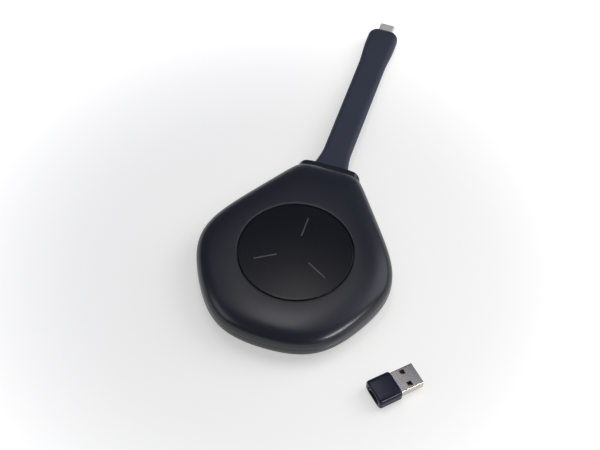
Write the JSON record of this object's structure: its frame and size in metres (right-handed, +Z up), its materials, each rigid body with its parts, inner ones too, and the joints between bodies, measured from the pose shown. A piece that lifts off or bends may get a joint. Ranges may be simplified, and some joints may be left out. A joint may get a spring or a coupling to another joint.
{
  "type": "wireless screen sharing dongle",
  "caption": "Pebble-shaped wireless screen sharing dongle with one large round button, a flat bendable tail ending in a USB-C plug, and a loose USB-A adapter.",
  "frame": {"origin": "centre of the foot underneath the housing, on the axis of the button, at the table", "axes": "+Z up along the button axis, +Y from the button to the tail and its plug, +X to the right seen from above with the tail away"},
  "size_m": [0.1266, 0.2316, 0.0184],
  "materials": {
    "housing_plastic": "fine matte black plastic",
    "button_plastic": "satin black plastic",
    "gloss_trim": "gloss black plastic",
    "clear_guide": "milky clear plastic",
    "tail_elastomer": "soft-touch dark elastomer",
    "foot_rubber": "black rubber",
    "pad_silicone": "silicone",
    "plated_steel": "nickel plated steel",
    "screw_steel": "zinc plated steel",
    "spreader_aluminium": "bare aluminium sheet",
    "pcb": "green solder mask",
    "chip_epoxy": "black epoxy",
    "ferrite": "dark ferrite",
    "thermal_silicone": "soft thermal silicone",
    "led_white": "white diffuser",
    "connector_plastic": "ivory nylon",
    "lead_insulation": "lead insulation",
    "black_insulator": "black liquid crystal polymer",
    "gold_contact": "gold plated copper alloy"
  },
  "bodies": {
    "housing": {"top_cover": "housing_plastic", "bottom_cover": "housing_plastic", "foot_pad": "foot_rubber", "cover_screws": "screw_steel", "return_pad": "pad_silicone", "tact_switch": "chip_epoxy", "indicator_leds": "led_white", "main_board": "pcb", "board_screws": "screw_steel", "shield_can": "plated_steel", "processor_chip": "chip_epoxy", "radio_chip": "chip_epoxy", "flash_chip": "chip_epoxy", "power_inductor": "ferrite", "thermal_pad": "thermal_silicone", "heat_spreader": "spreader_aluminium", "antenna_left": "plated_steel", "antenna_right": "plated_steel", "cable_header": "connector_plastic", "cable_plug": "connector_plastic", "tail_leads": "lead_insulation", "tail_collar": "gloss_trim", "tail_boot": "tail_elastomer", "tail_clamp": "plated_steel", "clamp_screws": "screw_steel"},
    "button": {"button_cap": "button_plastic", "light_guide": "clear_guide", "switch_stem": "connector_plastic"},
    "tail": {"tail_strap": "tail_elastomer", "plug_overmold": "tail_elastomer", "plug_board": "pcb", "plug_shell": "plated_steel", "plug_insulator": "black_insulator", "plug_contacts": "gold_contact"},
    "adapter": {"adapter_housing": "housing_plastic", "adapter_port_shell": "plated_steel", "adapter_port_tongue": "black_insulator", "adapter_port_contacts": "gold_contact", "adapter_board": "pcb", "adapter_plug_shell": "plated_steel", "adapter_plug_insulator": "black_insulator", "adapter_plug_contacts": "gold_contact"}
  },
  "joints": [
    {"name": "button_press", "type": "slide", "parent": "housing", "child": "button", "axis": [0, 0, -1], "range_m": [0, 0.0005], "stiffness_N_per_m": 2000, "springref_m": -0.0005, "deforming": ["return_pad"]},
    {"name": "tail_bend", "type": "hinge", "parent": "housing", "child": "tail", "pos_m": [0, 0.0675, 0.009], "axis": [1, 0, 0], "range_deg": [-25, 60], "stiffness_Nm_per_rad": 0.12, "springref_deg": 2.01},
    {"name": "adapter_lift", "type": "slide", "parent": "housing", "child": "adapter", "axis": [0, 0, 1], "range_m": [0, 0.05]}
  ]
}
